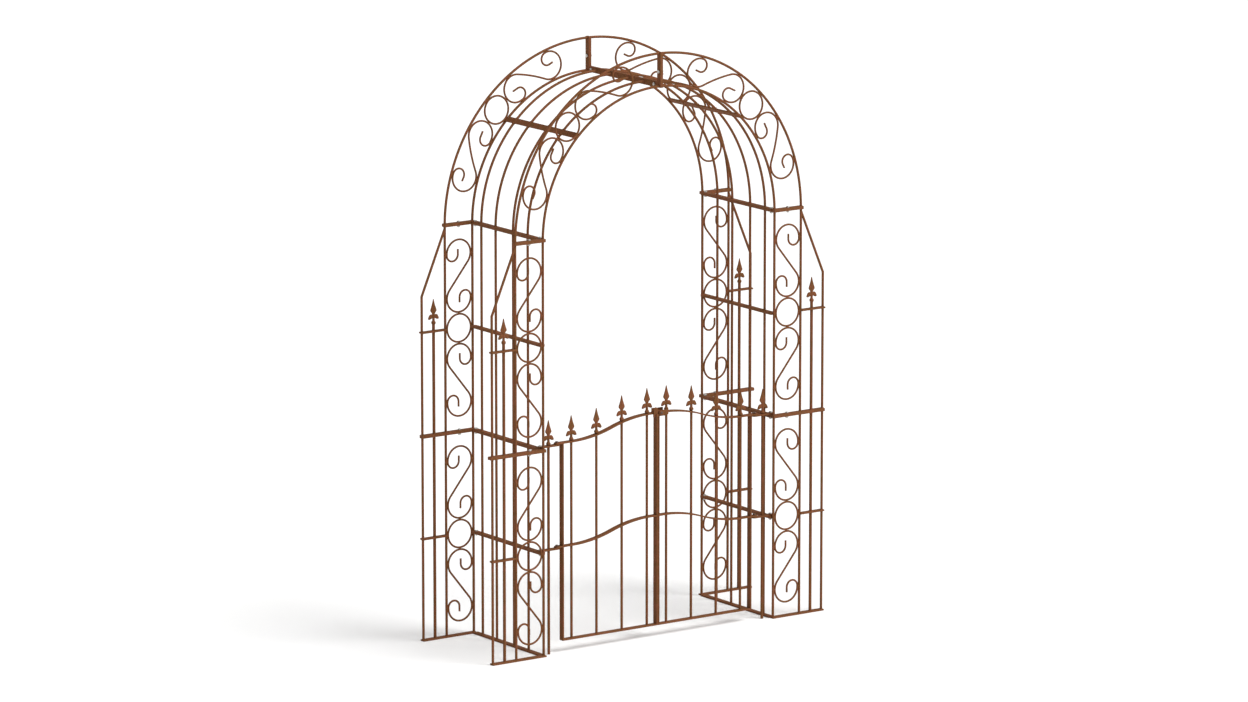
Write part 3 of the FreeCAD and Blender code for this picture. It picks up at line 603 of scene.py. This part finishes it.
# ---- weld beads -------------------------------------------------------------------
BEAD_R = 0.0016
BEAD_AROUND, BEAD_ACROSS = 24, 8                 # points round the rod and round the bead
BEAD_UNEVEN = 0.45
BEAD_LUMP = 0.0017           # size of the lumps
TACK_SIZE = (0.0050, 0.0027, 0.0029)             # half length, width and depth
TACK_UNEVEN = 0.30
TACK_LUMP = 0.0030
TACK_OFFSET = 0.0012         # in front of and behind the line of touch
WELD_REACH = 0.004           # how far round a weld the noise is read
BEAD_SPREAD, TACK_SPREAD = 7.0, 5.0              # takes each weld to noise of its own
RAY_LIFT = 0.01              # where a ray to the middle rail starts, above the bottom rail
RAY_GAP = 0.004              # and behind the bar


def lumpy(point, size, amount):
    """Factor near 1 that makes a weld uneven, with lumps of about size metres."""
    return 1.0 + amount * noise.noise(point / size)


def bead_ring(bm, centre, axis, radius):
    """Lumpy fillet of weld round a rod."""
    u, v = basis(axis)
    rings = []
    for i in range(BEAD_AROUND):
        a = 2 * math.pi * i / BEAD_AROUND
        out = u * math.cos(a) + v * math.sin(a)
        lump = lumpy(centre * BEAD_SPREAD + out * WELD_REACH, BEAD_LUMP, BEAD_UNEVEN)
        row = []
        for j in range(BEAD_ACROSS):
            b = 2 * math.pi * j / BEAD_ACROSS
            offset = out * (math.cos(b) * BEAD_R * lump) + axis * (math.sin(b) * BEAD_R * lump)
            row.append(bm.verts.new(centre + out * radius + offset))
        rings.append(row)
    for i in range(BEAD_AROUND):
        low, high = rings[i], rings[(i + 1) % BEAD_AROUND]
        for j in range(BEAD_ACROSS):
            k = (j + 1) % BEAD_ACROSS
            bm.faces.new((low[j], low[k], high[k], high[j]))


def tack(bm, centre, along, across):
    """Small blob of weld where two round pieces touch along a line."""
    length, width, depth = TACK_SIZE
    third = along.cross(across).normalized()
    start = len(bm.verts)
    bmesh.ops.create_icosphere(bm, subdivisions=2, radius=1.0)
    bm.verts.ensure_lookup_table()
    for vert in bm.verts[start:]:
        co = vert.co.copy()
        lump = lumpy(centre * TACK_SPREAD + co * WELD_REACH, TACK_LUMP, TACK_UNEVEN)
        offset = along * (co.x * length) + across * (co.y * width) + third * (co.z * depth)
        vert.co = centre + offset * lump


def panel_beads(bm):
    """Rods where they meet the flats of the legs."""
    uprights = [(INNER_X, ROD_R), (OUTER_X, ROD_R), (SPEAR_X, SPEAR_ROD_R), (WING_X, ROD_R)]
    for side in (-1, 1):
        for y in (-FACE_Y, FACE_Y):
            for x, radius in uprights:
                levels = [FLAT_T, GATE_LEVEL - FLAT_T, GATE_LEVEL + FLAT_T]
                if x > OUTER_X:
                    for ring_z in RING_LEVELS:
                        levels += [ring_z - FLAT_T / 2, ring_z + FLAT_T / 2]
                else:
                    levels += [SPRING_LEVEL - FLAT_T, SPRING_LEVEL + FLAT_T]
                for z in levels:
                    bead_ring(bm, Vector((side * x, y, z)), Z, radius)


def wall_beads(bm):
    """Rods where they meet the flats of the side walls and of the roof."""
    for side in (-1, 1):
        for rod_y in SIDE_ROD_Y:
            y = -side * rod_y
            levels = [FLAT_T, GATE_LEVEL - FLAT_T, GATE_LEVEL + FLAT_T]
            levels += [SPRING_LEVEL - FLAT_T, SPRING_LEVEL + FLAT_T]
            for ring_z in RING_LEVELS:
                levels += [ring_z - RING_FLAT_T / 2, ring_z + RING_FLAT_T / 2]
            for z in levels:
                bead_ring(bm, Vector((side * INNER_X, y, z)), Z, ROD_R)
            out = Vector((side * math.cos(ARC_MIDDLE), 0, math.sin(ARC_MIDDLE)))
            along = Vector((-side * math.sin(ARC_MIDDLE), 0, math.cos(ARC_MIDDLE)))
            middle = Vector((0, y, SPRING_LEVEL)) + out * INNER_X
            for sign in (-1, 1):
                bead_ring(bm, middle + along * (sign * FLAT_W / 2), along, ROD_R)
            bead_ring(bm, Vector((side * FLAT_T, y, SPRING_LEVEL + INNER_X)), X, ROD_R)


def loop_tacks(bm, centre, out, along):
    """Blobs on both sides of a loop, where it touches the stiles."""
    for sign in (-1, 1):
        for front in (-1, 1):
            point = centre + out * (sign * (LOOP_R + WIRE_R)) + Y * (front * TACK_OFFSET)
            tack(bm, point, along, Y)


def scroll_tacks(bm):
    """Blobs between scrolls, rings and stiles, in the legs and in the arch quarters."""
    near = RING_PITCH
    far = RING_PITCH + LOOP_PITCH
    for side in (-1, 1):
        for y in (-FACE_Y, FACE_Y):
            for middle_z in RING_LEVELS:
                middle = Vector((side * MID_X, y, middle_z))
                for offset in (-far, -near, 0.0, near, far):
                    loop_tacks(bm, middle + Z * offset, X, Z)
                for sign in (-1, 1):
                    tack(bm, middle + Z * (sign * near / 2), X, Y)
            near_angle = 2 * math.asin(near / 2 / MID_X)
            far_angle = near_angle + 2 * math.asin(LOOP_PITCH / 2 / MID_X)
            for turn in (-far_angle, -near_angle, 0.0, near_angle, far_angle):
                angle = ARC_MIDDLE + turn
                out = Vector((side * math.cos(angle), 0, math.sin(angle)))
                loop_tacks(bm, Vector((0, y, ARC_CENTRE_Z)) + out * MID_X, out, out.cross(Y))
            for sign in (-1, 1):
                angle = ARC_MIDDLE + sign * near_angle / 2
                out = Vector((side * math.cos(angle), 0, math.sin(angle)))
                tack(bm, Vector((0, y, ARC_CENTRE_Z)) + out * (MID_X * math.cos(near_angle / 2)), out, Y)


def leaf_beads(bm, side_name):
    """Gate bars where they pass the bottom and the middle rail, which is bent: rays find its faces."""
    rail = BVHTree.FromObject(frame["nodes"]["%s_gate_middle_rail" % side_name],
                              bpy.context.evaluated_depsgraph_get())
    bottom_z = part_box("%s_gate_bottom_rail" % side_name)[1].z
    for low, high in solid_boxes("%s_gate_bars" % side_name):
        middle = (low + high) / 2
        bead_ring(bm, Vector((middle.x, middle.y, bottom_z)), Z, ROD_R)
        for start_z, direction in ((high.z, -Z), (bottom_z + RAY_LIFT, Z)):
            start = Vector((middle.x, middle.y + ROD_R + RAY_GAP, start_z))
            hit, normal = rail.ray_cast(start, direction)[:2]
            bead_ring(bm, Vector((middle.x, middle.y, hit.z)), normal, ROD_R)


def make_welds():
    """One piece of beads and tacks for the arch and one for each leaf."""
    bm = bmesh.new()
    panel_beads(bm)
    wall_beads(bm)
    scroll_tacks(bm)
    make_piece(bm, "arch_weld_beads", "arch", "arch_steel", None, WELD_SMOOTH)
    for side_name in ("left", "right"):
        bm = bmesh.new()
        leaf_beads(bm, side_name)
        body = "%s_leaf" % side_name
        make_piece(bm, "%s_weld_beads" % body, body, "gate_steel", None, WELD_SMOOTH)


# ---- stage, lights and camera -----------------------------------------------------
FLOOR_HALF = 150.0
WORLD_STRENGTH = 0.40


def make_floor():
    bm = bmesh.new()
    bmesh.ops.create_grid(bm, x_segments=8, y_segments=8, size=FLOOR_HALF)
    mesh = bpy.data.meshes.new("floor")
    bm.to_mesh(mesh)
    bm.free()
    mesh.materials.append(studio_paper("studio_paper"))
    add_object("floor", mesh)


def make_sun(name, azimuth, elevation, strength, softness):
    """Sun from a direction; softness is its width in degrees."""
    lamp = bpy.data.lights.new(name, "SUN")
    lamp.energy = strength
    lamp.angle = math.radians(softness)
    aim(add_object(name, lamp), -on_sphere(azimuth, elevation))


def make_lights():
    world = bpy.data.worlds.new("studio")
    world.use_nodes = True
    background = world.node_tree.nodes["Background"]
    background.inputs["Color"].default_value = (1.0, 1.0, 1.0, 1.0)
    background.inputs["Strength"].default_value = WORLD_STRENGTH
    scene = bpy.context.scene
    scene.world = world
    scene.view_settings.view_transform = "Standard"
    make_sun("key_light", azimuth=35.0, elevation=48.0, strength=3.4, softness=40.0)
    make_sun("fill_light", azimuth=-75.0, elevation=35.0, strength=0.35, softness=60.0)


def make_camera():
    data = bpy.data.cameras.new("camera")
    data.lens = CAMERA_LENS
    data.sensor_width = SENSOR_WIDTH
    data.sensor_fit = "HORIZONTAL"
    data.clip_end = VIEW_END
    camera = add_object("camera", data)
    towards = on_sphere(CAMERA_AZIMUTH, CAMERA_ELEVATION)
    camera.location = CAMERA_TARGET + towards * CAMERA_DISTANCE
    aim(camera, -towards)
    bpy.context.scene.camera = camera


make_floor()
make_lights()
make_camera()
for node_name, node in frame["nodes"].items():
    dress(node, NODE_SLOT[node_name])

spear_mesh = spear_casting()
make_spears(spear_mesh, "wing_spears", "wing_spear_castings", "arch")
make_spears(spear_mesh, "post_spears", "post_spear_castings", "arch")
make_spears(spear_mesh, "left_gate_spears", "left_spear_castings", "left_leaf")
make_spears(spear_mesh, "right_gate_spears", "right_spear_castings", "right_leaf")
make_bolts("joint_bolts", "joint_hex_bolts", "zinc_fastener")
make_bolts("hinge_pivot_bolts", "pivot_hex_bolts", "dark_fastener")
make_nuts()
make_rivet()
make_welds()
